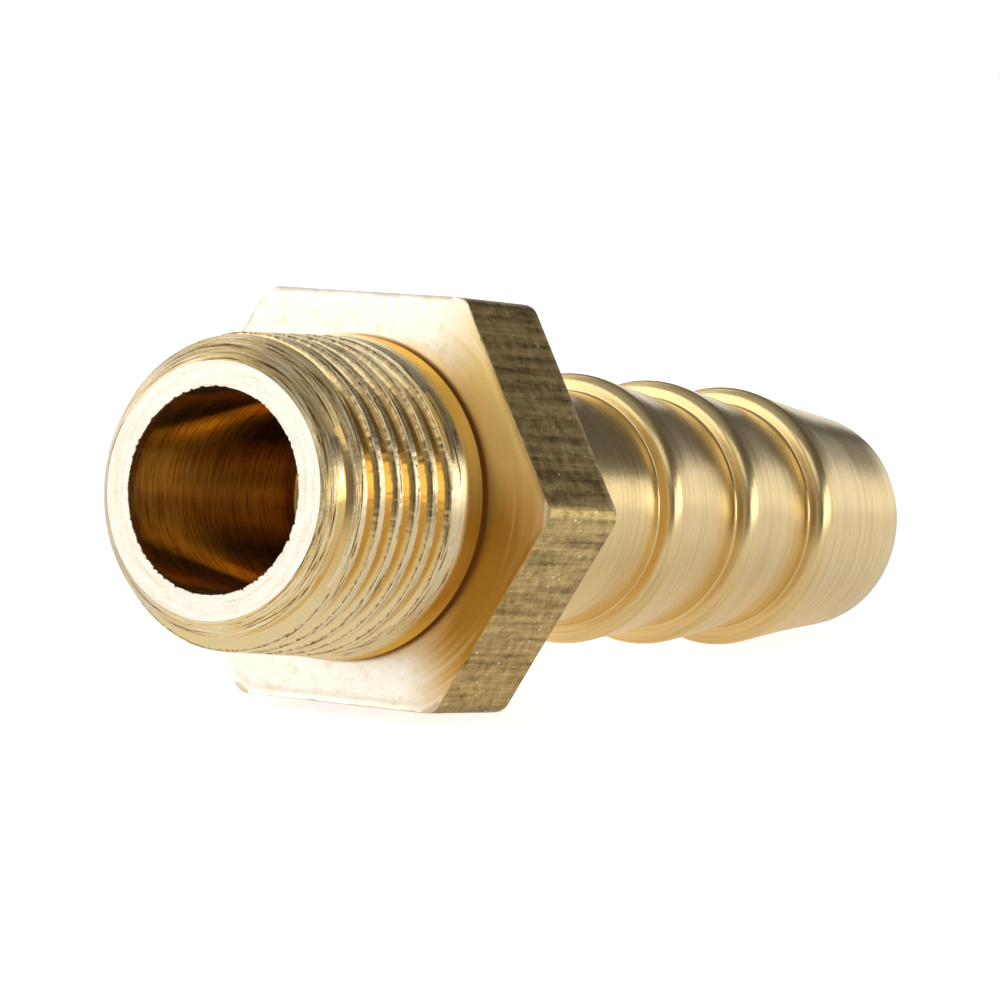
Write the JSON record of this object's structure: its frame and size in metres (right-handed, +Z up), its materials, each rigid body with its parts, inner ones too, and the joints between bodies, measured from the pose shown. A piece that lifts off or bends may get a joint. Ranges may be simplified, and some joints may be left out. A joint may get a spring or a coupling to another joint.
{
  "type": "hose barb tail",
  "caption": "Brass hose barb tail, turned in one piece: a short taper pipe thread, a spanner hexagon and a barbed tail that a hose is pushed over, bored right through.",
  "frame": {"origin": "Middle of the thread's end face, on the turning axis.", "axes": "+X from the thread end towards the barbed tip, +Z up. The turning axis leans 5.76 degrees down towards +X, as the loose fitting lies on a bench on the hexagon's back edge and the last barb. Two corners of the hexagon point along +Y and -Y."},
  "size_m": [0.0375, 0.0144, 0.013],
  "materials": {
    "brass": "bare brass, turned and drawn, satin"
  },
  "bodies": {
    "root": {"hose_tail": "brass"}
  },
  "joints": []
}
